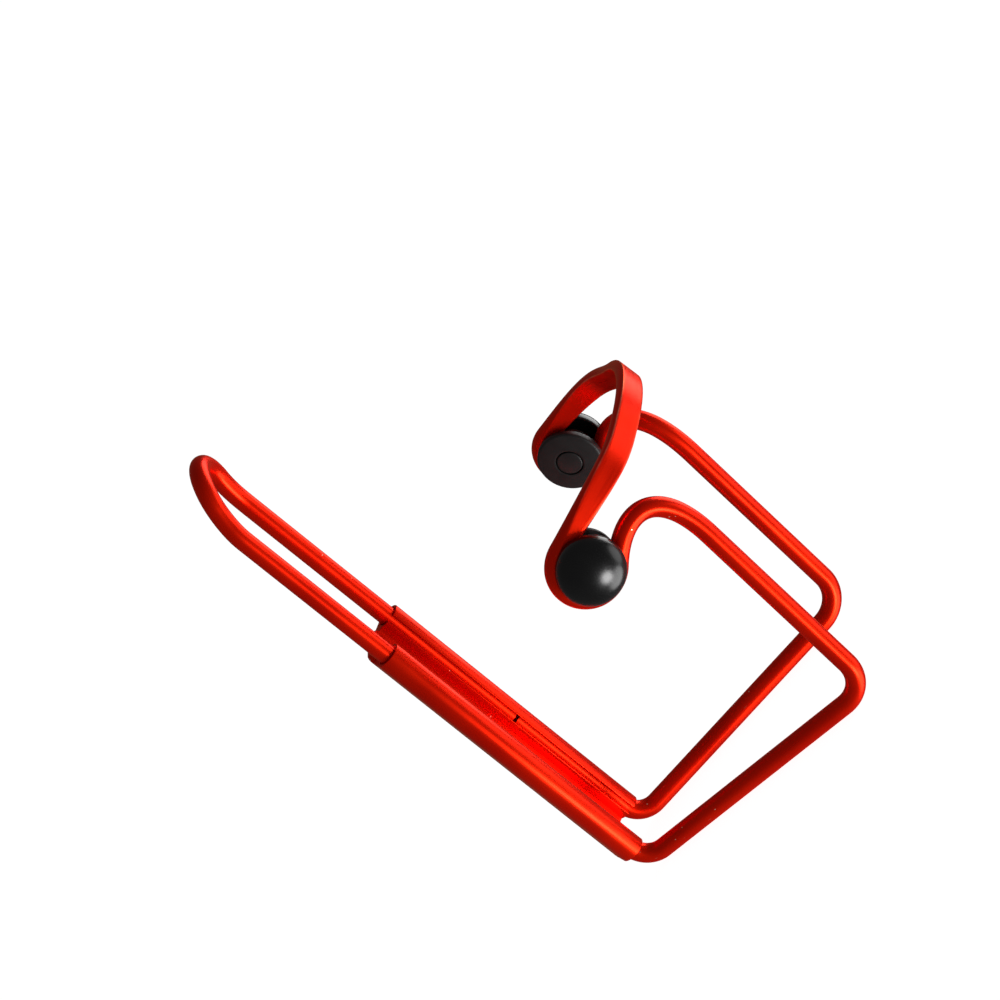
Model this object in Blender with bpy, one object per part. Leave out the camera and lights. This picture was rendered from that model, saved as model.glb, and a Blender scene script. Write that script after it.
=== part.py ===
"""Water bottle cage: bent alloy tube frame with a flattened front hoop, a neck
loop, an extruded mounting plate with rolled channels and two round grips.

Frame: +Z up along the bottle, bottle mouth at the top. The mounting plate's
flat back is the plane Y = 0 and faces +Y, the cage opens towards -Y (forward),
and the cage is symmetric about X = 0. The origin is on the plate's back, midway
between the two mounting slots. Dimensions are in millimetres, the scene in metres.
"""

import math

import bmesh
import bpy
import numpy as np

MM = 0.001
SHARP_ANGLE = math.radians(35)    # edges steeper than this are shaded sharp
MIRROR = np.array([-1, 1, 1])     # from one side of X = 0 to the other

# ---- tubes ------------------------------------------------------------------
TUBE_D = 5.0                      # frame and neck loop
TUBE_R = TUBE_D / 2
BAND_H, BAND_T = 6.55, 2.8        # flattened hoop: height and thickness
BAND_ROUND = 1.0                  # growth of the ellipse that the band's flats cut off
BAND_MIN_FLAT = math.radians(7)   # least angle from the thin axis to the flat's edge
GAP = 0.3                         # between separate pieces

# ---- mounting plate ---------------------------------------------------------
CHANNEL_L = 82.5                  # length of the rolled channels
WEB_OVER = 1.5                    # how far the web runs past each channel end
PLATE_HALF_L = CHANNEL_L / 2 + WEB_OVER
WEB_W, WEB_T = 13.0, 2.2          # flat of the back, thickness of the web
CHANNEL_T = 0.7                   # wall of the rolled channels
CHANNEL_ROOT_IN = 0.9             # from the back's edge in to the web's front edge
CHANNEL_ROOT = 40                 # degrees from +X round the -X channel's centre:
CHANNEL_MOUTH = -5                # root on the web, web side of the mouth,
CHANNEL_LIP = 320                 # and lip on the far side of the mouth
SLOT_PITCH = 64.0                 # standard spacing of bottle mounts
SLOT_W, SLOT_L = 5.4, 8.6         # each slot takes an M5 screw
CUT_OVER = 1.0                    # how far cutters run past the plate
CUT_REACH = 6.0                   # end cutters, outwards from the tube's axis
CUT_FRONT_Y = -14.0               # front of the end cutters

# ---- frame, -X side ---------------------------------------------------------
BACK_X = 10.4                     # half the spacing of the two back tubes
BACK_Y = -(WEB_T + CHANNEL_T + GAP + TUBE_R)
FRAME_END_Z = -2.0                # the frame's end in the channel
END_GAP = 1.0                     # from there up to the neck loop's end

FOOT_Z = -46.0                    # level of the foot rails
FOOT_BACK_R = 6.0
FOOT = np.array([-23.3, -81.9, FOOT_Z])    # front bend, sharp corner
FOOT_R = 9.0
ARM_TOP = np.array([-23.1, -84.75, 10.8])  # end of the straight of the arm
ARM_LEAD, CURL_LEAD = 19.3, 13.0  # Bezier handles of the arm's top bend

GRIP = np.array([-36.5, -63.55, 30.05])    # centre of the grip's widest section
GRIP_YAW = math.radians(15)       # grip axis, turned forward from +-X
OUT = np.array([-math.cos(GRIP_YAW), -math.sin(GRIP_YAW), 0.0])  # along the grip axis
FORWARD = np.array([math.sin(GRIP_YAW), -math.cos(GRIP_YAW), 0.0])  # in the curl plane
UP = np.array([0.0, 0.0, 1.0])
CURL_BACK = 3.9                   # curl plane, inside the widest section
CURL_R_IN, CURL_R = 7.35, 7.8     # curl radius where it starts, and further on
CURL_EASE = math.radians(80)      # turn over which the radius grows
CURL_START, CURL_END = math.radians(-49.5), math.radians(-260)  # from FORWARD to UP
CURL_STEP = 0.01                  # radians, to take the curl's direction at its ends

HOOP_FRONT = np.array([0.0, -94.5, 44.1])
HOOP_FRONT_R, HOOP_TURN = 25.0, math.radians(36)  # front bend, turn on each side
HOOP_TILT = 0.35                  # drop of the front bend per length backwards
HOOP_SIDE_LEAD, HOOP_FRONT_LEAD = 25.0, 10.5      # Bezier handles of the hoop's sides
HOOP_CANT = math.radians(3.5)     # the strip's top edge leans inwards
PRESS_FROM, PRESS_RUN = 3.3, 28.0 # flattening: start before the curl's end, run

# ---- neck loop --------------------------------------------------------------
NECK_STRAIGHT_Z = 87.0            # where the neck loop starts to bend forward
NECK_BEND_R = 40.0
NECK_CLOSE_R = 25.0               # the sides also bend towards each other
NECK_CLOSE = 0.17                 # by this angle, radians
NECK_SIDE = 10.5                  # length of the bent sides, before the U

# ---- grips: heights are along the axis, outwards from the widest section ----
GRIP_STEPS, STUD_STEPS = 32, 20   # segments round the axis
CAP_R = 8.5
DOME_H = 5.15                     # height of the dome
CAP_EDGE_Z, CAP_EDGE_IN = -0.6, 0.15       # slight taper below the widest section
CAP_UNDER_Z, CAP_UNDER_IN = -1.1, 0.6      # underside, and how far its edge is in
CORE_R = 4.5                      # neck of the cap, inside the curl
CORE_TIP_Z = -CURL_BACK - TUBE_R

PAD_R, PAD_T, PAD_CROWN = 8.3, 2.0, 0.7
PAD_TOP_Z = CORE_TIP_Z - GAP
PAD_SEAT_Z = PAD_TOP_Z - PAD_T * 0.8       # the stud head's seat
PAD_BEVEL = 0.3                   # outer edge
PAD_SIDE = 0.55                   # share of the thickness where the wall ends
PAD_EDGE_IN, PAD_EDGE_UP = 0.25, 0.35      # rounding point of the crowned face
PAD_FACE_IN = 0.8                 # outermost point on the crown, in from PAD_R
PAD_FACE_SHARES = (0.72, 0.5)     # radii of further points on the crown

STUD_R, STUD_HEAD_R, STUD_HEAD_T = 1.5, 3.2, 0.8
STUD_END_Z = 0.7
STUD_TIP_BEVEL, STUD_HEAD_BEVEL = 0.4, 0.3
BORE_R = STUD_R + GAP             # hole for the stud, in cap and pad
WELL_R = STUD_HEAD_R + GAP        # recess for its head, in the pad


# ---- curves -----------------------------------------------------------------
def unit(vector):
    vector = np.asarray(vector, float)
    return vector / np.linalg.norm(vector)


def smooth(share):
    share = np.clip(share, 0.0, 1.0)
    return share * share * (3 - 2 * share)


def fillet(before, corner, after, radius, steps):
    """Arc that rounds the corner of before-corner-after, both ends included."""
    to_before, to_after = unit(before - corner), unit(after - corner)
    half = math.acos(np.clip(to_before @ to_after, -1, 1)) / 2
    reach = radius / math.tan(half)
    centre = corner + unit(to_before + to_after) * radius / math.sin(half)
    start = corner + to_before * reach - centre
    axis = unit(np.cross(start, corner + to_after * reach - centre))
    angles = [(math.pi - 2 * half) * i / steps for i in range(steps + 1)]
    return [centre + start * math.cos(angle) + np.cross(axis, start) * math.sin(angle)
            for angle in angles]


def bezier(start, start_handle, end_handle, end, steps):
    """steps + 1 points of a cubic."""
    done = (np.arange(steps + 1) / steps)[:, None]
    left = 1 - done
    return list(left**3 * start + 3 * left * left * done * start_handle
                + 3 * left * done * done * end_handle + done**3 * end)


def arc(centre, radius, start, end, steps):
    """Points of a flat arc, angles in degrees, both ends included."""
    angles = [math.radians(start + (end - start) * i / steps) for i in range(steps + 1)]
    return [(centre[0] + radius * math.cos(angle), centre[1] + radius * math.sin(angle))
            for angle in angles]


def both_sides(half, flip=MIRROR):
    """Values that end on X = 0, continued back along the other side."""
    return np.concatenate([half, half[-2::-1] * flip])


# ---- centrelines ------------------------------------------------------------
def curl_point(angle):
    radius = CURL_R_IN + (CURL_R - CURL_R_IN) * smooth((CURL_START - angle) / CURL_EASE)
    centre = GRIP - OUT * CURL_BACK
    return centre + radius * (math.cos(angle) * FORWARD + math.sin(angle) * UP)


def hoop_point(angle):
    """On the front bend, angle back from the middle of the hoop, -X side."""
    back = HOOP_FRONT_R * (1 - math.cos(angle))
    return HOOP_FRONT + [-HOOP_FRONT_R * math.sin(angle), back, -HOOP_TILT * back]


def foot_and_arm():
    """From the tube's end in the channel to the start of the curl."""
    end = np.array([-BACK_X, BACK_Y, FRAME_END_Z])
    back = np.array([-BACK_X, BACK_Y, FOOT_Z])
    curl = curl_point(CURL_START)
    arm_way = unit(ARM_TOP - FOOT)
    curl_way = unit(curl_point(CURL_START - CURL_STEP) - curl)
    return ([end]
            + fillet(end, back, FOOT, FOOT_BACK_R, steps=6)
            + fillet(back, FOOT, ARM_TOP, FOOT_R, steps=7)
            + bezier(ARM_TOP, ARM_TOP + arm_way * ARM_LEAD,
                     curl - curl_way * CURL_LEAD, curl, steps=12))


def curl_turn(steps=20):
    """Round the grip, without the curl's first point."""
    return [curl_point(CURL_START + (CURL_END - CURL_START) * i / steps)
            for i in range(1, steps + 1)]


def hoop_half(front_steps=7):
    """From the curl's end, left out, to the middle of the hoop."""
    curl = curl_point(CURL_END)
    curl_way = unit(curl - curl_point(CURL_END + CURL_STEP))
    bend = hoop_point(HOOP_TURN)
    bend_way = unit([math.cos(HOOP_TURN), -math.sin(HOOP_TURN),
                     HOOP_TILT * math.sin(HOOP_TURN)])
    side = bezier(curl, curl + curl_way * HOOP_SIDE_LEAD,
                  bend - bend_way * HOOP_FRONT_LEAD, bend, steps=10)[1:]
    return side + [hoop_point(HOOP_TURN * (1 - i / front_steps))
                   for i in range(1, front_steps + 1)]


def frame_path():
    """Centreline, thin directions and how flat the tube is at each point."""
    path = foot_and_arm() + curl_turn()
    curl_end = len(path) - 1
    path = np.array(path + hoop_half())
    lengths = np.linalg.norm(np.diff(path, axis=0), axis=1)
    run = np.concatenate([[0], np.cumsum(lengths)])
    run -= run[curl_end]
    flat = smooth((run + PRESS_FROM) / PRESS_RUN)
    thin = [OUT] * curl_end
    for way, past_curl in list(zip(np.gradient(path, axis=0), run))[curl_end:]:
        side = unit(np.cross(way, UP))
        if side @ OUT <= 0:
            side = -side
        cant = HOOP_CANT * smooth(past_curl / PRESS_RUN)
        thin.append(side * math.cos(cant) + UP * math.sin(cant))
    return both_sides(path), both_sides(np.array(thin)), both_sides(flat, 1)


def neck_path(side_steps=9, u_steps=10):
    """From end to end. The sides bend forward and towards each other, then join
    in a U that lies in the tilted plane."""
    half = [np.array([-BACK_X, BACK_Y, FRAME_END_Z + END_GAP]),
            np.array([-BACK_X, BACK_Y, NECK_STRAIGHT_Z])]
    step = NECK_SIDE / side_steps
    for i in range(side_steps):
        run = (i + 0.5) * step
        tilt, close = run / NECK_BEND_R, min(run / NECK_CLOSE_R, NECK_CLOSE)
        half.append(half[-1] + step * np.array([
            math.sin(close),
            -math.sin(tilt) * math.cos(close),
            math.cos(tilt) * math.cos(close)]))
    end, tilt = half[-1], NECK_SIDE / NECK_BEND_R
    radius = -end[0] / math.cos(NECK_CLOSE)
    for i in range(1, u_steps + 1):
        angle = NECK_CLOSE + (math.pi / 2 - NECK_CLOSE) * i / u_steps
        rise = radius * (math.sin(angle) - math.sin(NECK_CLOSE))
        half.append(np.array([-radius * math.cos(angle),
                              end[1] - rise * math.sin(tilt),
                              end[2] + rise * math.cos(tilt)]))
    return both_sides(np.array(half))


# ---- solids -----------------------------------------------------------------
def new_object(name, points, faces, finish):
    """A shaded mesh object from points in millimetres."""
    mesh = bpy.data.meshes.new(name)
    mesh.from_pydata([tuple(float(c) * MM for c in point) for point in points], [], faces)
    work = bmesh.new()
    work.from_mesh(mesh)
    bmesh.ops.recalc_face_normals(work, faces=work.faces)
    work.to_mesh(mesh)
    work.free()
    mesh.shade_smooth()
    mesh.set_sharp_from_angle(angle=SHARP_ANGLE)
    if finish:
        mesh.materials.append(finish)
    obj = bpy.data.objects.new(name, mesh)
    bpy.context.scene.collection.objects.link(obj)
    return obj


def loft(name, rings, finish=None):
    """Closed solid through outlines with the same number of points."""
    sides = len(rings[0])
    points = [point for ring in rings for point in ring]
    faces = []
    for first in range(0, len(points) - sides, sides):
        for k in range(sides):
            a, b = first + k, first + (k + 1) % sides
            faces.append((a, b, b + sides, a + sides))
    faces.append(tuple(range(sides)))
    faces.append(tuple(range(len(points) - sides, len(points))))
    return new_object(name, points, faces, finish)


def section(flat, steps=4):
    """Outline of the tube, (thin, wide) pairs: round at flat = 0, and pressed
    into a strip with round edges, an ellipse cut off by two flats, at flat = 1."""
    thin = TUBE_R + (BAND_T / 2 - TUBE_R) * flat
    wide = TUBE_R + (BAND_H / 2 - TUBE_R) * flat
    full = TUBE_R + BAND_ROUND * flat
    corner = max(math.acos(min(1.0, thin / full)), BAND_MIN_FLAT)
    angles = [corner + (math.pi / 2 - corner) * k / steps for k in range(steps)]
    quarter = [(min(full * math.cos(a), thin), wide * math.sin(a)) for a in angles]
    half = quarter + [(0.0, wide)] + [(-x, y) for x, y in reversed(quarter)]
    return half + [(x, -y) for x, y in reversed(half)]


def sweep(name, path, thin, flat, finish):
    """Tube along a centreline."""
    rings = []
    for centre, way, side, flatness in zip(path, np.gradient(path, axis=0), thin, flat):
        way = unit(way)
        side = unit(side - way * (side @ way))
        wide = np.cross(way, side)
        rings.append([centre + side * a + wide * b for a, b in section(flatness)])
    return loft(name, rings, finish)


def turned(name, profile, steps, finish):
    """Solid of revolution round local Z from (radius, height) pairs that start
    and end on the axis, or a ring where they form a closed loop off it."""
    points, faces, rings = [], [], []
    for radius, z in profile:
        count = steps if radius else 1
        rings.append(list(range(len(points), len(points) + count)))
        angles = [2 * math.pi * k / steps for k in range(count)]
        points += [(radius * math.cos(a), radius * math.sin(a), z) for a in angles]
    pairs = list(zip(rings, rings[1:]))
    if len(rings[0]) > 1:
        pairs.append((rings[-1], rings[0]))
    for low, high in pairs:
        for k in range(steps):
            j = (k + 1) % steps
            if len(low) == 1:
                faces.append((low[0], high[k], high[j]))
            elif len(high) == 1:
                faces.append((low[k], high[0], low[j]))
            else:
                faces.append((low[k], high[k], high[j], low[j]))
    return new_object(name, points, faces, finish)


# ---- tubes ------------------------------------------------------------------
def frame_tube(finish):
    path, thin, flat = frame_path()
    sweep("frame_tube", path, thin, flat, finish)


def neck_loop_tube(finish):
    path = neck_path()
    thin = np.zeros_like(path) + [0.0, 1.0, 0.0]
    sweep("neck_loop_tube", path, thin, np.zeros(len(path)), finish)


# ---- mounting plate ---------------------------------------------------------
def plate_outline():
    """Cross-section (x, y), the web with a rolled channel on each edge. The
    channels open towards the middle, between their lip and the web."""
    centre = (-BACK_X, BACK_Y)
    inner = TUBE_R + GAP
    outer = inner + CHANNEL_T
    corner = (-WEB_W / 2, 0.0)
    across, back = corner[0] - centre[0], corner[1] - centre[1]
    # Where the line from the web's back corner touches the channel.
    touch = math.degrees(math.atan2(back, across)
                         + math.acos(outer / math.hypot(across, back)))
    left = [(corner[0] + CHANNEL_ROOT_IN, -WEB_T)]
    left += arc(centre, outer, CHANNEL_ROOT, CHANNEL_MOUTH, steps=4)
    left += arc(centre, inner, CHANNEL_MOUTH, CHANNEL_LIP, steps=22)
    left += arc(centre, outer, CHANNEL_LIP, touch, steps=16)
    left += [corner]
    return left + [(-x, y) for x, y in reversed(left)]


def cutter(name, outline, front, back):
    """Prism of an (x, z) outline between two values of y."""
    obj = loft(name, [[(x, y, z) for x, z in outline] for y in (front, back)])
    obj.hide_render = True
    obj.display_type = "WIRE"
    return obj


def slot_cutter(side):
    z, run = side * SLOT_PITCH / 2, (SLOT_L - SLOT_W) / 2
    outline = arc((0, z + run), SLOT_W / 2, 0, 180, steps=10)
    outline += arc((0, z - run), SLOT_W / 2, 180, 360, steps=10)
    return cutter(f"cut_slot_{side}", outline, -WEB_T - CUT_OVER, CUT_OVER)


def end_cutter(side, hand):
    """Stops a channel short of the web's end and rounds the web's corner."""
    outer_x = hand * (BACK_X + CUT_REACH)
    channel_z, end_z = side * CHANNEL_L / 2, side * (PLATE_HALF_L + CUT_OVER)
    first = 0 if hand > 0 else 180
    edge = arc((hand * (WEB_W / 2 - WEB_OVER), channel_z), WEB_OVER,
               side * first, side * 90, steps=5)
    outline = [(outer_x, channel_z)] + edge + [(edge[-1][0], end_z), (outer_x, end_z)]
    return cutter(f"cut_end_{side}_{hand}", outline, CUT_FRONT_Y, CUT_OVER)


def mounting_plate(finish):
    rings = [[(x, y, z) for x, y in plate_outline()] for z in (-PLATE_HALF_L, PLATE_HALF_L)]
    plate = loft("mounting_plate", rings, finish)
    cutters = []
    for side in (-1, 1):
        cutters.append(slot_cutter(side))
        cutters += [end_cutter(side, hand) for hand in (-1, 1)]
    for index, tool in enumerate(cutters):
        step = plate.modifiers.new(f"cut_{index}", "BOOLEAN")
        step.operation = "DIFFERENCE"
        step.object = tool


# ---- grips ------------------------------------------------------------------
def cap_profile():
    """Domed cap with its neck and the blind bore that the stud snaps into."""
    dome = [(CAP_R * math.cos(a), DOME_H * math.sin(a))
            for a in np.linspace(math.pi / 2, 0, 10)[1:]]
    bore_end = STUD_END_Z + GAP
    return [(0, DOME_H), *dome,
            (CAP_R - CAP_EDGE_IN, CAP_EDGE_Z), (CAP_R - CAP_UNDER_IN, CAP_UNDER_Z),
            (CORE_R, CAP_UNDER_Z), (CORE_R, CORE_TIP_Z),
            (BORE_R, CORE_TIP_Z), (BORE_R, bore_end), (0, bore_end)]


def pad_profile():
    """Disc with a crowned inner face, a hole and a well for the stud's head."""
    low = PAD_TOP_Z - PAD_T
    radii = [PAD_R - PAD_FACE_IN, *(PAD_R * share for share in PAD_FACE_SHARES), WELL_R]
    crown = [(radius, low - PAD_CROWN * (1 - (radius / PAD_R) ** 2)) for radius in radii]
    return [(BORE_R, PAD_TOP_Z), (PAD_R - PAD_BEVEL, PAD_TOP_Z),
            (PAD_R, PAD_TOP_Z - PAD_BEVEL), (PAD_R, PAD_TOP_Z - PAD_T * PAD_SIDE),
            (PAD_R - PAD_EDGE_IN, low + PAD_EDGE_UP), *crown,
            (WELL_R, PAD_SEAT_Z), (BORE_R, PAD_SEAT_Z)]


def stud_profile():
    seat = PAD_SEAT_Z - GAP
    low = seat - STUD_HEAD_T
    return [(0, low), (STUD_HEAD_R - STUD_HEAD_BEVEL, low),
            (STUD_HEAD_R, low + STUD_HEAD_BEVEL), (STUD_HEAD_R, seat),
            (STUD_R, seat), (STUD_R, STUD_END_Z - STUD_TIP_BEVEL),
            (STUD_R - STUD_TIP_BEVEL, STUD_END_Z), (0, STUD_END_Z)]


def grip(name, side, cap_finish, pad_finish, stud_finish):
    """Three turned pieces on the grip's axis, their local Z pointing outwards."""
    pieces = (
        turned(f"{name}_grip_cap", cap_profile(), GRIP_STEPS, cap_finish),
        turned(f"{name}_grip_pad", pad_profile(), GRIP_STEPS, pad_finish),
        turned(f"{name}_grip_stud", stud_profile(), STUD_STEPS, stud_finish),
    )
    yaw = -GRIP_YAW if side > 0 else math.pi + GRIP_YAW
    for piece in pieces:
        piece.location = [c * MM for c in GRIP * [-side, 1, 1]]
        piece.rotation_euler = (0, math.pi / 2, yaw)


# ---- scene ------------------------------------------------------------------
def clear_scene():
    for obj in list(bpy.data.objects):
        bpy.data.objects.remove(obj, do_unlink=True)


def material(name, colour, roughness, metallic=0.0):
    made = bpy.data.materials.new(name)
    made.use_nodes = True
    node = made.node_tree.nodes["Principled BSDF"]
    node.inputs["Base Color"].default_value = (*colour, 1.0)
    node.inputs["Roughness"].default_value = roughness
    node.inputs["Metallic"].default_value = metallic
    return made


def main():
    clear_scene()
    red = material("anodised_red", colour=(0.62, 0.01, 0.005), roughness=0.32, metallic=1.0)
    black = material("grip_black", colour=(0.012, 0.012, 0.013), roughness=0.28)
    rubber = material("pad_rubber", colour=(0.02, 0.02, 0.02), roughness=0.75)
    nylon = material("stud_nylon", colour=(0.03, 0.03, 0.03), roughness=0.45)

    frame_tube(red)
    neck_loop_tube(red)
    mounting_plate(red)
    for name, side in (("left", -1), ("right", 1)):
        grip(name, side, cap_finish=black, pad_finish=rubber, stud_finish=nylon)


main()
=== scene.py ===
"""A water bottle cage: a bent red rod frame, a neck loop and a back plate, with a
black grip on each side, on a pale floor under soft lights.

+Z is up. The plate stands at the back, facing +Y, and the hoop is at the front,
towards -Y. Left is -X. Parts are worked out in millimetres and built in metres."""

import math
from contextlib import contextmanager

import bmesh
import bpy
import numpy as np
from mathutils import Matrix, Vector


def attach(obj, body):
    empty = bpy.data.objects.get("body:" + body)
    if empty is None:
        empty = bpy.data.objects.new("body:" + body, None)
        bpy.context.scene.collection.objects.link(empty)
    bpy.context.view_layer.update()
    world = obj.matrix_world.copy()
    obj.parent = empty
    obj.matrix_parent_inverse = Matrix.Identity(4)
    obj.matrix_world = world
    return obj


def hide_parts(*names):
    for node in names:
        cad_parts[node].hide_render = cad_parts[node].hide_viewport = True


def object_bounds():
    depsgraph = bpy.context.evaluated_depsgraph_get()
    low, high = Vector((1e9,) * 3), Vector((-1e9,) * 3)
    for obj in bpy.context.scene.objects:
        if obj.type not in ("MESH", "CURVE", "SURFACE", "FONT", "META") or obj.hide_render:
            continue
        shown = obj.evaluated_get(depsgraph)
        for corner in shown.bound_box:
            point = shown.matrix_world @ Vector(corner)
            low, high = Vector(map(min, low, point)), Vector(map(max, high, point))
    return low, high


MM = 0.001
UP = np.array([0.0, 0.0, 1.0])
MIRROR = np.array([-1, 1, 1])             # swaps left and right

# ---- dimensions in millimetres, angles in radians ----------------------------
GAP = 0.3                                 # clearance between parts
TUBE_D = 5.0
TUBE_R = TUBE_D / 2
BAND_H, BAND_T = 6.55, 2.8                # the rod where it is pressed flat
ROD_STEP = 2.0                            # straight runs are split about this often

# Back plate: a web with a channel round the rod on each side.
PLATE_L, WEB_OVER, WEB_W, WEB_T, CHANNEL_T = 82.5, 1.5, 13.0, 2.2, 0.7
SLOT_PITCH, SLOT_W, SLOT_L = 64.0, 5.4, 8.6
PLATE_BEVEL = 0.16
JOIN_ANGLE = 40                           # degrees round the channel where the web joins
OPEN_ANGLES = -5, 320                     # degrees at the two lips of its opening

# Frame rod. Places with an X above 0 are on the right.
BACK_X = 10.4
BACK_Y = -(WEB_T + CHANNEL_T + GAP + TUBE_R)
SPLIT_Z = -2.0                            # frame rod below, neck rod above
FOOT_Z, FOOT_BACK_R = -46.0, 6.0
FOOT, FOOT_R = np.array([23.3, -81.9, FOOT_Z]), 9.0
ARM_TOP = np.array([23.1, -84.75, 10.8])
ARM_LEAD, CURL_LEAD = 19.3, 13.0          # handle lengths of the curve into the curl
GRIP, GRIP_YAW = np.array([36.5, -63.55, 30.05]), math.radians(15)
CURL_BACK = 3.9                           # from the grip's place in to the curl's plane
CURL_R_IN, CURL_R = 7.35, 7.8             # radius at the curl's start, then further on
CURL_EASE = math.radians(80)
CURL_START, CURL_END = math.radians(-49.5), math.radians(-260)
WAY_STEP = 0.01                           # turn used to find the curl's direction
HOOP_FRONT = np.array([0.0, -94.5, 44.1])
HOOP_R, HOOP_TURN = 25.0, math.radians(36)
HOOP_TILT, HOOP_CANT = 0.35, math.radians(3.5)
HOOP_SIDE_LEAD, HOOP_FRONT_LEAD = 25.0, 10.5
PRESS_FROM, PRESS_RUN = 3.3, 28.0         # flattening starts before the curl's end

NECK_STRAIGHT_Z, NECK_BEND_R, NECK_CLOSE_R = 87.0, 40.0, 25.0
NECK_CLOSE, NECK_SIDE = 0.17, 10.5

# Grips: profiles are (radius, height) with height 0 at the grip's place.
GRIP_R, DOME_H, CAP_RIM, CORE_R = 8.5, 5.15, 1.1, 4.5
PAD_R, PAD_T, PAD_CROWN = 8.3, 2.0, 0.7
STUD_R, STUD_HEAD_R, STUD_HEAD_T, STUD_END = 1.5, 3.2, 0.8, 0.7
BORE_R = STUD_R + GAP
CAP_LOW = -CURL_BACK - TUBE_R
PAD_TOP = CAP_LOW - GAP
PAD_SEAT = PAD_TOP - PAD_T * 0.8          # where the stud's head sits in the pad

# Axes of the left curl: out along the grip, and forward round the curl.
CURL_OUT = np.array([-math.cos(GRIP_YAW), -math.sin(GRIP_YAW), 0.0])
CURL_FORWARD = np.array([math.sin(GRIP_YAW), -math.cos(GRIP_YAW), 0.0])


# ---- curves ------------------------------------------------------------------
def unit(vector):
    vector = np.asarray(vector, float)
    return vector / np.linalg.norm(vector)


def smooth(share):
    share = np.clip(share, 0.0, 1.0)
    return share * share * (3 - 2 * share)


def run_along(path):
    """Length from the start to each point of a path."""
    return np.concatenate([[0], np.cumsum(np.linalg.norm(np.diff(path, axis=0), axis=1))])


def both_sides(half, flip=1):
    """A left half that ends on the middle, then its right half."""
    return np.concatenate([half, half[-2::-1] * flip])


def fillet(before, corner, after, radius, steps):
    """Arc that rounds the corner between two straights."""
    back, onward = unit(before - corner), unit(after - corner)
    half = math.acos(np.clip(back @ onward, -1, 1)) / 2
    reach = radius / math.tan(half)
    centre = corner + unit(back + onward) * radius / math.sin(half)
    start = corner + back * reach - centre
    axis = unit(np.cross(start, corner + onward * reach - centre))
    turn = math.pi - 2 * half
    return [centre + start * math.cos(turn * i / steps)
            + np.cross(axis, start) * math.sin(turn * i / steps)
            for i in range(steps + 1)]


def bezier(start, start_lead, end_lead, end, steps):
    share = (np.arange(steps + 1) / steps)[:, None]
    rest = 1 - share
    return list(rest**3 * start + 3 * rest * rest * share * start_lead
                + 3 * rest * share * share * end_lead + share**3 * end)


def arc(centre, radius, start, end, steps):
    """Points of a flat arc, angles in degrees."""
    angles = [math.radians(start + (end - start) * i / steps) for i in range(steps + 1)]
    return [(centre[0] + radius * math.cos(angle), centre[1] + radius * math.sin(angle))
            for angle in angles]


def curl_point(angle):
    centre = GRIP * MIRROR - CURL_OUT * CURL_BACK
    radius = CURL_R_IN + (CURL_R - CURL_R_IN) * smooth((CURL_START - angle) / CURL_EASE)
    return centre + radius * (math.cos(angle) * CURL_FORWARD + math.sin(angle) * UP)


def hoop_point(angle):
    back = HOOP_R * (1 - math.cos(angle))
    return HOOP_FRONT + [-HOOP_R * math.sin(angle), back, -HOOP_TILT * back]


def frame_path():
    """Centreline, thin direction and flatness of the frame rod: down the back,
    forward along the foot, up the arm, round the curl and on to the front hoop."""
    end = np.array([-BACK_X, BACK_Y, SPLIT_Z])
    back = np.array([-BACK_X, BACK_Y, FOOT_Z])
    foot, top = FOOT * MIRROR, ARM_TOP * MIRROR
    path = [end] + fillet(end, back, foot, FOOT_BACK_R, steps=24)
    path += fillet(back, foot, top, FOOT_R, steps=28)

    start = curl_point(CURL_START)
    start_way = unit(curl_point(CURL_START - WAY_STEP) - start)
    path += bezier(top, top + unit(top - foot) * ARM_LEAD,
                   start - start_way * CURL_LEAD, start, steps=48)
    curl_steps = 80
    path += [curl_point(CURL_START + (CURL_END - CURL_START) * i / curl_steps)
             for i in range(1, curl_steps + 1)]
    last = len(path) - 1                  # the curl's last point

    end_way = unit(path[-1] - curl_point(CURL_END + WAY_STEP))
    bend = hoop_point(HOOP_TURN)
    bend_way = unit([math.cos(HOOP_TURN), -math.sin(HOOP_TURN),
                     HOOP_TILT * math.sin(HOOP_TURN)])
    path += bezier(path[-1], path[-1] + end_way * HOOP_SIDE_LEAD,
                   bend - bend_way * HOOP_FRONT_LEAD, bend, steps=40)[1:]
    hoop_steps = 28
    path += [hoop_point(HOOP_TURN * (1 - i / hoop_steps)) for i in range(1, hoop_steps + 1)]

    path = np.array(path)
    run = run_along(path)
    flat = smooth((run - run[last] + PRESS_FROM) / PRESS_RUN)
    thin = []
    for i, way in enumerate(np.gradient(path, axis=0)):
        side = CURL_OUT
        if i >= last:
            side = unit(np.cross(way, UP))
            side = side * (1 if side @ CURL_OUT > 0 else -1)
        cant = HOOP_CANT * smooth((run[i] - run[last]) / PRESS_RUN)
        thin.append(side * math.cos(cant) + UP * math.sin(cant))
    return both_sides(path, MIRROR), both_sides(np.array(thin), MIRROR), both_sides(flat)


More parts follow.
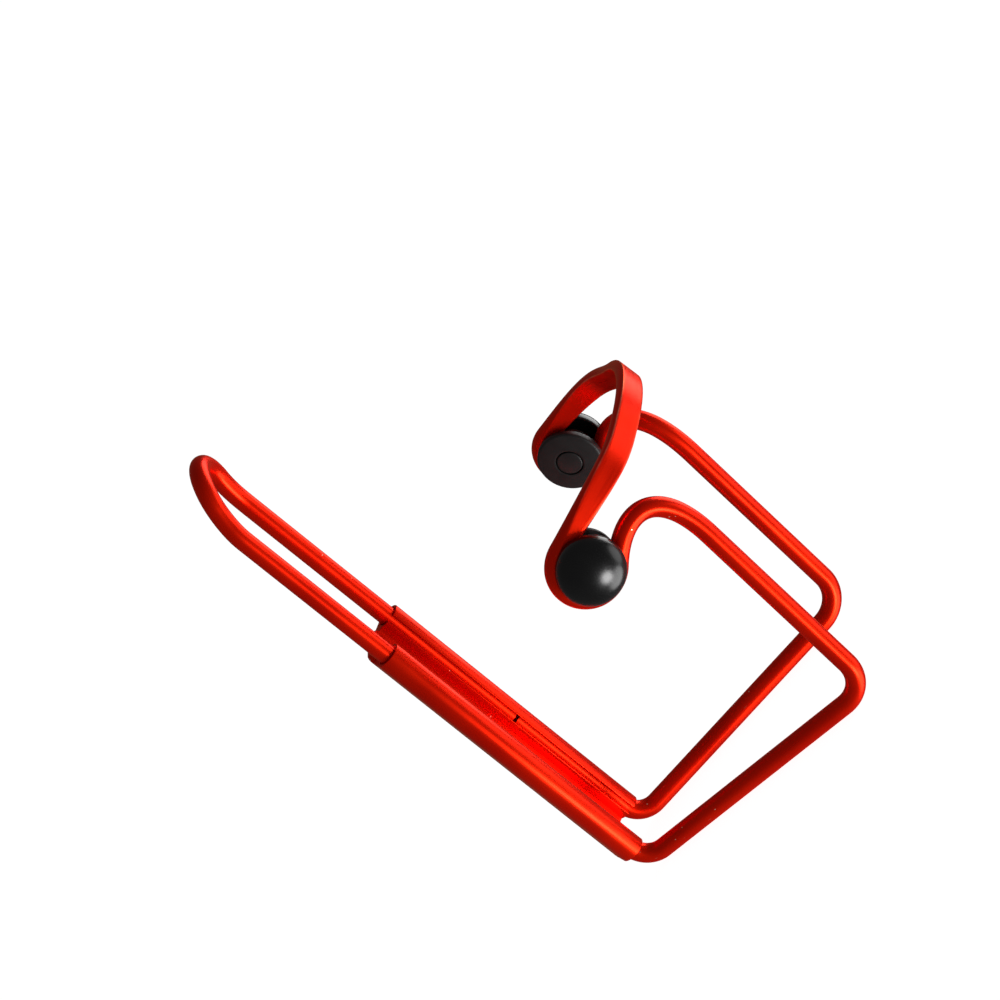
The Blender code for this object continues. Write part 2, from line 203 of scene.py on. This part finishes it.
def neck_path():
    """Centreline of the neck rod: straight up, a bend forward and inward, and an arc
    across the top."""
    half = [np.array([-BACK_X, BACK_Y, SPLIT_Z + 1.0]),
            np.array([-BACK_X, BACK_Y, NECK_STRAIGHT_Z])]
    side_steps = 36
    step = NECK_SIDE / side_steps
    for i in range(side_steps):
        run = (i + 0.5) * step
        tilt, close = run / NECK_BEND_R, min(run / NECK_CLOSE_R, NECK_CLOSE)
        half.append(half[-1] + step * np.array([
            math.sin(close), -math.sin(tilt) * math.cos(close),
            math.cos(tilt) * math.cos(close)]))

    end, tilt = half[-1], NECK_SIDE / NECK_BEND_R
    radius = -end[0] / math.cos(NECK_CLOSE)
    top_steps = 40
    for i in range(1, top_steps + 1):
        angle = NECK_CLOSE + (math.pi / 2 - NECK_CLOSE) * i / top_steps
        rise = radius * (math.sin(angle) - math.sin(NECK_CLOSE))
        half.append(np.array([-radius * math.cos(angle), end[1] - rise * math.sin(tilt),
                              end[2] + rise * math.cos(tilt)]))
    return both_sides(np.array(half), MIRROR)


def bend_wear(path):
    """0 on straights, up to 1 on tight bends."""
    full_wear_radius = 8
    way = np.gradient(path, axis=0)
    step = np.linalg.norm(way, axis=1)
    way /= step[:, None]
    curve = np.linalg.norm(np.gradient(way, axis=0), axis=1) / np.maximum(step, 1e-6)
    kernel = np.hanning(9) / np.hanning(9).sum()
    return np.clip(np.convolve(curve, kernel, mode="same") * full_wear_radius, 0, 1)


def refine(rows):
    """Splits long straight runs, so that wear and grain vary along them."""
    out = []
    for here, there in zip(rows, rows[1:]):
        parts = max(1, int(np.linalg.norm(there[:3] - here[:3]) / ROD_STEP))
        out += [here + (there - here) * i / parts for i in range(parts)]
    return np.array(out + [rows[-1]])


# ---- meshes ------------------------------------------------------------------
@contextmanager
def editing(mesh):
    work = bmesh.new()
    work.from_mesh(mesh)
    yield work
    work.to_mesh(mesh)
    work.free()


def add_field(mesh, key, values):
    mesh.attributes.new(key, "FLOAT", "POINT").data.foreach_set(
        "value", np.asarray(values, np.float32))


def shade(mesh, sharp_angle):
    mesh.shade_smooth()
    mesh.set_sharp_from_angle(angle=math.radians(sharp_angle))


def build(name, points, faces):
    """Object from points in millimetres."""
    mesh = bpy.data.meshes.new(name)
    mesh.from_pydata((np.asarray(points, float) * MM).tolist(), [], faces)
    obj = bpy.data.objects.new(name, mesh)
    bpy.context.scene.collection.objects.link(obj)
    return obj


def build_solid(name, points, faces, uvs, fields, sharp_angle):
    """Object with a UV per face corner, float fields per point, and faces outward."""
    obj = build(name, points, faces)
    mesh = obj.data
    layer = mesh.uv_layers.new(name="grain")
    layer.data.foreach_set("uv", (np.array(uvs) * MM).astype(np.float32).ravel())
    for key, values in fields.items():
        add_field(mesh, key, values)
    shade(mesh, sharp_angle)
    with editing(mesh) as work:
        if work.calc_volume(signed=True) < 0:
            bmesh.ops.reverse_faces(work, faces=work.faces)
    return obj


def section(flat):
    """Outline of the rod pressed flat: an ellipse cut off by two flats. Returns
    (thin, wide) pairs and how near each is to an edge of a flat."""
    thin = TUBE_R + (BAND_T / 2 - TUBE_R) * flat
    wide = TUBE_R + (BAND_H / 2 - TUBE_R) * flat
    full = TUBE_R + 1.0 * flat            # the ellipse's thin radius before the cut
    corner = max(math.acos(min(1.0, thin / full)), math.radians(5))
    knee = 0.05 + 0.06 * flat             # how softly the flat meets the ellipse
    knee_fill = 0.35
    corner_step, edge_spread = 0.06, 0.10
    flat_steps, arc_steps = 3, 9
    angles = [corner * i / flat_steps for i in range(flat_steps)]
    angles += [corner - corner_step, corner, corner + corner_step]
    angles += [corner + (math.pi / 2 - corner) * i / arc_steps for i in range(1, arc_steps)]
    angles.sort()
    quarter, near = [], []
    for angle in angles:
        x = full * math.cos(angle)
        if flat >= 1e-6:
            past = (x - thin) / knee
            x = (thin - knee * math.log(math.exp(-past) + 1)
                 + knee * math.log(2) * math.exp(-abs(past)) * knee_fill)
        quarter.append((min(x, thin), wide * math.sin(angle)))
        near.append(flat * math.exp(-((angle - corner) / edge_spread) ** 2))
    half = quarter + [(0.0, wide)] + [(-x, y) for x, y in reversed(quarter)]
    near_half = near + [0.0] + near[::-1]
    # The halves share their two end points.
    outline = half + [(x, -y) for x, y in reversed(half)][1:-1]
    return outline, near_half + near_half[::-1][1:-1]


def sweep(name, path, thin, flat):
    """Closed rod along a centreline, pressed flat along its thin direction."""
    rows = refine(np.column_stack([path, thin, flat, bend_wear(path)]))
    path = rows[:, :3]
    points, edges, flats, wears = [], [], [], []
    for row, way in zip(rows, np.gradient(path, axis=0)):
        way = unit(way)
        side = unit(row[3:6] - way * (row[3:6] @ way))
        rise = np.cross(way, side)
        outline, near = section(row[6])
        sides = len(outline)
        points += [row[:3] + side * x + rise * y for x, y in outline]
        edges += near
        flats += [row[6]] * sides
        wears += [row[7]] * sides

    along = run_along(path)
    around = [math.pi * TUBE_D * k / sides for k in range(sides + 1)]
    faces, uvs = [], []
    for i in range(len(path) - 1):
        for k in range(sides):
            low, high = i * sides + k, i * sides + (k + 1) % sides
            faces.append((low, low + sides, high + sides, high))
            uvs += [(along[i], around[k]), (along[i + 1], around[k]),
                    (along[i + 1], around[k + 1]), (along[i], around[k + 1])]
    for start, run in ((0, along[0]), (len(points) - sides, along[-1])):
        faces.append(tuple(range(start, start + sides)))
        uvs += [(run, around[k]) for k in range(sides)]
    return build_solid(name, points, faces, uvs,
                       {"edge": edges, "flat": flats, "wear": wears}, sharp_angle=50)


def turned(name, profile, steps):
    """Solid of revolution round local Z. A profile that starts off the axis is a
    closed loop. UVs are length along the profile and a nominal length round it."""
    uv_girth = 40.0
    points, rings = [], []
    for radius, z in profile:
        count = 1 if radius == 0 else steps
        rings.append(range(len(points), len(points) + count))
        points += [(radius * math.cos(2 * math.pi * k / steps),
                    radius * math.sin(2 * math.pi * k / steps), z) for k in range(count)]
    run = run_along(np.array(profile + profile[:1]))
    closed = len(rings[0]) > 1
    faces, uvs = [], []
    for i in range(len(rings) if closed else len(rings) - 1):
        low, high = rings[i], rings[(i + 1) % len(rings)]
        for k in range(steps):
            after = (k + 1) % steps
            here, there = uv_girth * k / steps, uv_girth * (k + 1) / steps
            corners = [(low[k % len(low)], run[i], here),
                       (high[k % len(high)], run[i + 1], here),
                       (high[after % len(high)], run[i + 1], there),
                       (low[after % len(low)], run[i], there)]
            # A ring that is one point on the axis makes triangles.
            if len(low) == 1:
                del corners[3]
            elif len(high) == 1:
                del corners[2]
            faces.append(tuple(corner[0] for corner in corners))
            uvs += [corner[1:] for corner in corners]
    return build_solid(name, points, faces, uvs, {}, sharp_angle=30)


def prism(name, outline, axis, low, high):
    """Outline in XY raised along Z, or in XZ raised along Y."""
    points = [(x, y, level) if axis == "Z" else (x, level, y)
              for level in (low, high) for x, y in outline]
    count = len(outline)
    faces = [(k, (k + 1) % count, count + (k + 1) % count, count + k) for k in range(count)]
    faces += [tuple(range(count)), tuple(range(count, 2 * count))]
    obj = build(name, points, faces)
    with editing(obj.data) as work:
        bmesh.ops.recalc_face_normals(work, faces=work.faces)
    shade(obj.data, sharp_angle=35)
    return obj


# ---- grips -------------------------------------------------------------------
def cap_profile():
    """Dome and rim, with a core that reaches in through the curl."""
    under = -CAP_RIM
    lip_r, root_r, chamfer = 0.45, 0.5, 0.3
    dome = [(GRIP_R * math.cos(angle), DOME_H * math.sin(angle))
            for angle in np.linspace(math.pi / 2, 0, 28)[1:]]
    lip = arc((GRIP_R - lip_r, under + lip_r), lip_r, 0, -90, 5)
    root = arc((CORE_R + root_r, under - root_r), root_r, 90, 180, 4)[1:]
    return ([(0, DOME_H)] + dome + lip + [(CORE_R + root_r, under)] + root
            + [(CORE_R, CAP_LOW + chamfer), (CORE_R - chamfer, CAP_LOW), (BORE_R, CAP_LOW),
               (BORE_R, STUD_END + GAP), (0, STUD_END + GAP)])


def pad_profile():
    """Disc with a crowned inner face, a hole and a well for the stud's head."""
    well = STUD_HEAD_R + GAP
    top_r, low_r = 0.5, 0.7

    def crown(radius):
        return PAD_TOP - PAD_T - PAD_CROWN * (1 - (radius / PAD_R) ** 2)

    edge = PAD_R - low_r
    side = arc((PAD_R - top_r, PAD_TOP - top_r), top_r, 90, 0, 5)
    under = arc((edge, crown(edge) + low_r), low_r, 0, -90, 6)[:-1]
    face = [(radius, crown(radius)) for radius in np.linspace(edge, well + 0.25, 12)]
    return ([(BORE_R, PAD_TOP)] + side + under + face
            + [(well + 0.05, crown(well) + 0.08), (well, crown(well) + 0.25),
               (well, PAD_SEAT), (BORE_R, PAD_SEAT)])


def stud_profile():
    """Slightly dished head, then a shank with a rounded end."""
    seat = PAD_SEAT - GAP
    low = seat - STUD_HEAD_T
    edge_r, dish = 0.3, 0.16
    rim = STUD_HEAD_R - edge_r
    head = [(radius, low + dish * (radius / STUD_HEAD_R) ** 2)
            for radius in np.linspace(0, rim, 8)]
    side = arc((rim, low + 0.42), edge_r, -60, 0, 4)
    return head + side + [
        (STUD_HEAD_R, seat), (STUD_R, seat), (STUD_R, STUD_END - 0.4),
        (STUD_R - 0.15, STUD_END - 0.12), (STUD_R - 0.4, STUD_END), (0, STUD_END)]


def place_grip(obj, side):
    """Turns local Z outward and moves the mesh to the grip's place."""
    yaw = -GRIP_YAW if side > 0 else math.pi + GRIP_YAW
    turn = Matrix.Rotation(yaw, 4, "Z") @ Matrix.Rotation(math.pi / 2, 4, "Y")
    obj.data.transform(Matrix.Translation(GRIP * [side, 1, 1] * MM) @ turn)


# ---- back plate --------------------------------------------------------------
def plate_outline():
    centre = (-BACK_X, BACK_Y)
    inner = TUBE_R + GAP
    outer = inner + CHANNEL_T
    corner = (-WEB_W / 2, 0.0)
    across, down = corner[0] - centre[0], corner[1] - centre[1]
    # The web's back corner runs in a straight line that touches the channel here.
    touch = math.degrees(math.atan2(down, across)
                         + math.acos(outer / math.hypot(across, down)))
    first_lip, last_lip = OPEN_ANGLES
    left = [(-WEB_W / 2 + 0.9, -WEB_T)]
    left += arc(centre, outer, JOIN_ANGLE, first_lip, 12)
    left += arc(centre, inner, first_lip, last_lip, 72)
    left += arc(centre, outer, last_lip, touch, 60)
    left += [corner]
    return left + [(-x, y) for x, y in reversed(left)]


def plate_cutters(half):
    """Two slots, and four blocks that trim the channels and round the web's ends."""
    cutters = []
    for side in (-1, 1):
        z, run = side * SLOT_PITCH / 2, (SLOT_L - SLOT_W) / 2
        slot = [(x, z + run + y) for x, y in arc((0, 0), SLOT_W / 2, 0, 180, 24)]
        slot += [(x, z - run + y) for x, y in arc((0, 0), SLOT_W / 2, 180, 360, 24)]
        cutters.append(prism(f"slot_{side}", slot, "Y", -WEB_T - 1, 1))
        for hand in (-1, 1):
            x_far, z_near, z_far = hand * (BACK_X + 6), side * PLATE_L / 2, side * (half + 1)
            centre = (hand * (WEB_W / 2 - WEB_OVER), z_near)
            first = 0 if hand > 0 else 180
            edge = arc(centre, WEB_OVER, side * first, side * 90, 10)
            outline = [(x_far, z_near)] + edge + [(edge[-1][0], z_far), (x_far, z_far)]
            cutters.append(prism(f"end_{side}_{hand}", outline, "Y", -14, 1))
    return cutters


def plate():
    half = PLATE_L / 2 + WEB_OVER
    made = prism("back_plate", plate_outline(), "Z", -half, half)
    cutters = plate_cutters(half)
    for index, cutter in enumerate(cutters):
        step = made.modifiers.new(f"cut_{index}", "BOOLEAN")
        step.operation = "DIFFERENCE"
        step.object = cutter
    mesh = bpy.data.meshes.new_from_object(
        made.evaluated_get(bpy.context.evaluated_depsgraph_get()))
    made.modifiers.clear()
    made.data = mesh
    for cutter in cutters:
        bpy.data.objects.remove(cutter, do_unlink=True)

    with editing(mesh) as work:
        bmesh.ops.remove_doubles(work, verts=work.verts, dist=1e-6)
        sharp = [edge for edge in work.edges
                 if len(edge.link_faces) == 2 and edge.calc_face_angle(0) > math.radians(40)]
        bmesh.ops.bevel(work, geom=sharp, offset=PLATE_BEVEL * MM, segments=2, profile=0.5,
                        affect="EDGES", clamp_overlap=True)
        layer = work.loops.layers.uv.new("grain")
        for face in work.faces:
            for loop in face.loops:
                x, y, z = loop.vert.co
                loop[layer].uv = (z, x + y)
    shade(mesh, sharp_angle=35)
    for key in ("edge", "flat", "wear"):
        add_field(mesh, key, np.zeros(len(mesh.vertices)))
    return made


# ---- materials: texture scales are per metre ---------------------------------
class Look:
    """A material, with a short way to write its node tree."""

    def __init__(self, name):
        self.made = bpy.data.materials.new(name)
        self.made.use_nodes = True
        self.tree = self.made.node_tree

    def fill(self, node, inputs):
        for key, value in inputs.items():
            socket = node.inputs[key]
            if isinstance(value, bpy.types.Node):
                value = value.outputs[0]
            if isinstance(value, bpy.types.NodeSocket):
                self.tree.links.new(value, socket)
            else:
                socket.default_value = value

    def node(self, kind, inputs=None, **settings):
        node = self.tree.nodes.new(kind)
        for key, value in settings.items():
            setattr(node, key, value)
        self.fill(node, inputs or {})
        return node

    def finish(self, inputs):
        self.fill(self.tree.nodes["Principled BSDF"], inputs)
        return self.made

    def math(self, operation, first, second, clamp=False):
        return self.node("ShaderNodeMath", {0: first, 1: second},
                         operation=operation, use_clamp=clamp)

    def add(self, first, second, clamp=False):
        return self.math("ADD", first, second, clamp)

    def times(self, first, second, clamp=False):
        return self.math("MULTIPLY", first, second, clamp)

    def above(self, value, limit):
        return self.math("GREATER_THAN", value, limit)

    def below(self, value, limit):
        return self.math("LESS_THAN", value, limit)

    def remap(self, value, span, to):
        return self.node("ShaderNodeMapRange", {
            "Value": value, "From Min": span[0], "From Max": span[1],
            "To Min": to[0], "To Max": to[1]})

    def mix(self, share, first, second):
        return self.node("ShaderNodeMix", {"Factor": share, "A": first, "B": second},
                         data_type="RGBA").outputs["Result"]

    def place(self):
        return self.node("ShaderNodeTexCoord").outputs["Object"]

    def noise(self, vector, scale, detail=2.0, rough=0.5):
        return self.node("ShaderNodeTexNoise", {
            "Vector": vector, "Scale": scale, "Detail": detail,
            "Roughness": rough}).outputs["Fac"]

    def cells(self, place, scale):
        """A random number per cell, and the distance from the cell's centre."""
        cells = self.node("ShaderNodeTexVoronoi", {"Vector": place, "Scale": scale})
        lot = self.node("ShaderNodeSeparateColor", {"Color": cells.outputs["Color"]})
        return lot, cells.outputs["Distance"]

    def scaled(self, vector, along, around):
        return self.node("ShaderNodeVectorMath", {0: vector, 1: (along, around, 1)},
                         operation="MULTIPLY")

    def field(self, name):
        return self.node("ShaderNodeAttribute", attribute_name=name).outputs["Fac"]

    def bump(self, strength, height):
        return self.node("ShaderNodeBump", {
            "Strength": strength, "Distance": 0.00005, "Height": height})


RED_DEEP, RED = (0.68, 0.0026, 0.0002, 1), (0.85, 0.008, 0.0004, 1)
# The pale peach colour is used for chips and scratches, and also for the painted highlight
# along the flats' edges.
RED_WORN_AND_HIGHLIGHT = (0.90, 0.42, 0.30, 1)
BROAD_TONE, COARSE_TONE = 0.7, 0.3        # shares in the mottling of the red
EDGE_WEAR = 0.7                           # wear at an edge of a flat
CHIP_LIMIT, CHIP_WEAR = 0.945, 0.10       # cells above the limit chip; wear lowers it
CHIP_SIZE = 0.16
SCRATCH_LIMIT, SCRATCH_BARE = 0.79, 0.5   # how rare scratches are, how bare they look
DRAWN_RELIEF, FINE_RELIEF, CHIP_RELIEF = 0.7, 0.8, 1.5


def anodised(name, grain_along, rough):
    """Red anodised metal with grain drawn along the part."""
    look = Look(name)
    place = look.place()
    grain = look.node("ShaderNodeUVMap", uv_map="grain")
    drawn = look.noise(look.scaled(grain, along=45 * grain_along, around=5200),
                       scale=1.0, detail=3.0, rough=0.6)
    coarse = look.noise(look.scaled(grain, along=12 * grain_along, around=900), scale=1.0)
    fine = look.noise(place, scale=7000, rough=0.6)
    broad = look.noise(place, scale=40, detail=3.0, rough=0.55)
    tone = look.add(look.times(broad, BROAD_TONE), look.times(coarse, COARSE_TONE))
    colour = look.mix(look.remap(tone, span=(0.35, 0.65), to=(0, 1)), RED_DEEP, RED)

    # Specks and short scratches where the coat is chipped, most at bends and edges.
    lot, distance = look.cells(place, scale=420.0)
    wear = look.add(look.field("wear"), look.times(look.field("edge"), EDGE_WEAR))
    limit = look.math("SUBTRACT", CHIP_LIMIT, look.times(wear, CHIP_WEAR))
    chosen = look.above(lot, limit)
    size = look.times(look.noise(place, scale=2600, detail=1.0), CHIP_SIZE)
    speck = look.times(chosen, look.below(distance, size))
    streak = look.noise(look.scaled(grain, along=260, around=3800), scale=1.0, detail=1.0)
    scratch = look.times(look.above(streak, SCRATCH_LIMIT),
                         look.times(wear, 1.0, clamp=True))
    # A broken pale line along the edges of the flats: a painted highlight, not wear.
    line = look.math("POWER", look.field("edge"), 3.0)
    edge_highlight = look.times(line, look.remap(look.noise(place, scale=260),
                                        span=(0.35, 0.65), to=(0.12, 0.62)))
    # The mix holds chips and scratches, which are wear, and the edge line, which is a painted
    # highlight.
    worn_and_highlight = look.add(look.add(speck, look.times(scratch, SCRATCH_BARE)), edge_highlight, clamp=True)

    height = look.add(look.times(drawn, DRAWN_RELIEF), look.times(fine, FINE_RELIEF))
    height = look.math("SUBTRACT", height, look.times(speck, CHIP_RELIEF))
    return look.finish({
        "Base Color": look.mix(worn_and_highlight, colour, RED_WORN_AND_HIGHLIGHT),
        "Metallic": 0.77,                 # dyed oxide layer: part of it scatters
        "Specular IOR Level": 1.0,
        "Specular Tint": (1.0, 0.50, 0.10, 1),
        "Roughness": look.add(
            look.remap(drawn, span=(0.3, 0.7), to=(rough - 0.03, rough + 0.05)),
            look.remap(broad, span=(0.3, 0.7), to=(-0.03, 0.04))),
        "Anisotropic": 0.25,
        "Tangent": look.node("ShaderNodeTangent", direction_type="UV_MAP", uv_map="grain"),
        "Normal": look.bump(0.11, height),
        "Coat Weight": 0.022,
        "Coat Roughness": 0.18,
        "Coat IOR": 1.5})


DUST, DUST_COVER, DUST_SIZE = (0.16, 0.16, 0.16, 1), 0.5, 0.07


def moulded(name, base, rough, grain, dust):
    """Moulded black plastic or rubber: fine grain, paler patches and dust."""
    look = Look(name)
    place = look.place()
    grainy = look.noise(place, scale=grain, detail=3.0, rough=0.65)
    broad = look.noise(place, scale=300)
    lot, distance = look.cells(place, scale=700.0)
    speck = look.times(look.above(lot, 1.0 - dust), look.below(distance, DUST_SIZE))
    dark = (base, base, base * 1.05, 1)
    pale = (base * 2.2, base * 2.2, base * 2.2, 1)
    colour = look.mix(look.remap(broad, span=(0.35, 0.65), to=(0.0, 0.5)), dark, pale)
    return look.finish({
        "Base Color": look.mix(look.times(speck, DUST_COVER), colour, DUST),
        "Roughness": look.remap(grainy, span=(0.3, 0.7), to=(rough - 0.05, rough + 0.06)),
        "Normal": look.bump(0.12, grainy),
        "IOR": 1.45})


# ---- the object --------------------------------------------------------------
def give(obj, material, body, node):
    obj.data.materials.clear()
    obj.data.materials.append(material)
    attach(obj, body)
    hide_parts(node)


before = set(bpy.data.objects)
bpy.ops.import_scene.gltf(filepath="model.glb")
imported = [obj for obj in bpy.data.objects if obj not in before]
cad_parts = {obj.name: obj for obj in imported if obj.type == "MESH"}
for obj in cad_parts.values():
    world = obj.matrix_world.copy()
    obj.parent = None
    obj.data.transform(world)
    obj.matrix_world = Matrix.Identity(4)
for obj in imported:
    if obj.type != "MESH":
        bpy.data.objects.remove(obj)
cad_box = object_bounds()

red = anodised("anodised_rod", grain_along=1.0, rough=0.30)
red_plate = anodised("anodised_plate", grain_along=0.8, rough=0.33)
black = moulded("grip_black", base=0.0012, rough=0.235, grain=5200, dust=0.012)
rubber = moulded("pad_black", base=0.004, rough=0.55, grain=3500, dust=0.01)
nylon = moulded("stud_black", base=0.006, rough=0.42, grain=4200, dust=0.01)

give(sweep("frame_rod", *frame_path()), red, "cage", "frame_tube")

neck = neck_path()
neck_rod = sweep("neck_rod", neck, np.zeros_like(neck) + [0.0, 1.0, 0.0], np.zeros(len(neck)))
give(neck_rod, red, "cage", "neck_loop_tube")

give(plate(), red_plate, "cage", "mounting_plate")

for side, hand in ((-1, "left"), (1, "right")):
    for part, profile, steps, finish in (
            ("cap", cap_profile(), 96, black), ("pad", pad_profile(), 96, rubber),
            ("stud", stud_profile(), 48, nylon)):
        piece = turned(f"{hand}_{part}", profile, steps)
        place_grip(piece, side)
        give(piece, finish, f"{hand}_grip", f"{hand}_grip_{part}")


# ---- stage, lights and camera, in metres -------------------------------------
FLOOR_DROP = 0.0002                       # floor below the object
FLOOR_GLOW = 0.95                         # a lit table under the object
WORLD = 0.15                              # light from the sky; the camera sees 1

CAM_AT = (-0.723920, -0.282465, 0.293459)
CAM_AXES = np.array([(-0.034103, -0.678886, -0.733451),     # right
                     (0.422868, -0.674752, 0.604891),       # up
                     (-0.905550, -0.289524, 0.310090)])     # back
CAM_LENS, CAM_SENSOR = 119.486, 36.0      # millimetres

# Direction in camera axes (right, up, back), size in degrees, power in watts.
LIGHTS = [
    ((0.70, -0.45, 0.555), 22, 10.0),
    ((0.917, -0.389, 0.087), 40, 10.0),
    ((0.441, 0.765, -0.469), 40, 9.0),
    ((0.924, 0.373, 0.087), 40, 3.8),
]
LIGHT_FAR = 1.2
LIGHT_TARGET = (0.0, -0.045, 0.02)


def add_floor(z):
    bpy.ops.mesh.primitive_plane_add(size=8, location=(0, 0, z))
    floor = bpy.context.object
    floor.name = "floor"
    look = Look("floor_pale")
    grain = look.noise(look.place(), scale=3.0)
    floor.data.materials.append(look.finish({
        "Base Color": look.mix(grain, (0.44, 0.44, 0.44, 1), (0.46, 0.46, 0.46, 1)),
        "Roughness": 0.9,
        "Specular IOR Level": 0.1,
        "Emission Color": (1, 1, 1, 1),
        "Emission Strength": FLOOR_GLOW}))
    floor.visible_shadow = False
    floor.visible_glossy = False


def add_light(name, way, size, power):
    data = bpy.data.lights.new(name, "AREA")
    data.shape = "DISK"
    data.size = 2 * LIGHT_FAR * math.tan(math.radians(size / 2))
    data.energy = power
    lamp = bpy.data.objects.new(name, data)
    towards = Vector(unit(CAM_AXES.T @ np.array(way)))
    lamp.location = Vector(LIGHT_TARGET) + towards * LIGHT_FAR
    lamp.rotation_euler = towards.to_track_quat("Z", "Y").to_euler()
    bpy.context.scene.collection.objects.link(lamp)


def add_world():
    world = bpy.data.worlds.new("studio")
    world.use_nodes = True
    tree = world.node_tree
    sky = tree.nodes["Background"]
    seen = tree.nodes.new("ShaderNodeLightPath").outputs["Is Camera Ray"]
    strength = tree.nodes.new("ShaderNodeMapRange")
    strength.inputs["To Min"].default_value = WORLD
    strength.inputs["To Max"].default_value = 1.0
    tree.links.new(seen, strength.inputs["Value"])
    tree.links.new(strength.outputs[0], sky.inputs["Strength"])
    sky.inputs["Color"].default_value = (1, 1, 1, 1)
    bpy.context.scene.world = world


def add_camera():
    data = bpy.data.cameras.new("camera")
    data.lens = CAM_LENS
    data.sensor_width = CAM_SENSOR
    data.sensor_fit = "HORIZONTAL"
    data.clip_start = 0.05
    data.clip_end = 50
    camera = bpy.data.objects.new("camera", data)
    camera.matrix_world = Matrix.Translation(CAM_AT) @ Matrix(CAM_AXES.T.tolist()).to_4x4()
    bpy.context.scene.collection.objects.link(camera)
    bpy.context.scene.camera = camera


add_floor(cad_box[0][2] - FLOOR_DROP)
for index, light in enumerate(LIGHTS):
    add_light(f"soft_{index}", *light)
add_world()
add_camera()
bpy.context.scene.view_settings.view_transform = "Standard"
